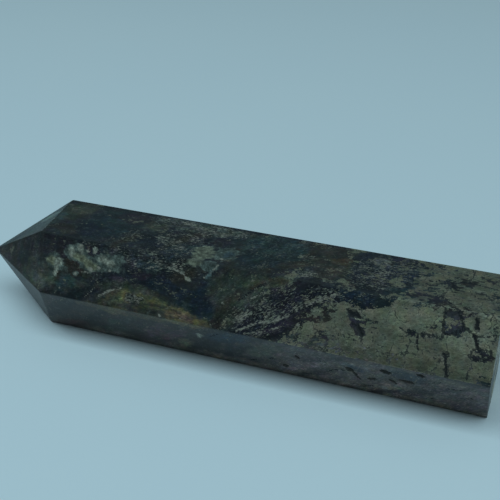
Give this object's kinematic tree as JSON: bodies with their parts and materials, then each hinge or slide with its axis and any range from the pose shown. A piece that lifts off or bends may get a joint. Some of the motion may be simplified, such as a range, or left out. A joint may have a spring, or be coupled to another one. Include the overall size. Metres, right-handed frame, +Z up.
{
  "type": "polished pyrite in schist point",
  "caption": "Hexagonal polished stone point of pyrite-bearing schist, with a faceted tip and a flat-cut base, lying on one of its sides as a display specimen.",
  "frame": {"origin": "on the surface that the stone lies on, under the middle of its box", "axes": "+X along the stone from its tip to its flat base, +Z up, +Y towards the back sides"},
  "size_m": [0.0896, 0.021, 0.0185],
  "materials": {
    "polished_pyrite_schist": "polished: dark schist with brassy pyrite grains and a little milky quartz"
  },
  "bodies": {
    "root": {"polished_point": "polished_pyrite_schist"}
  },
  "joints": []
}
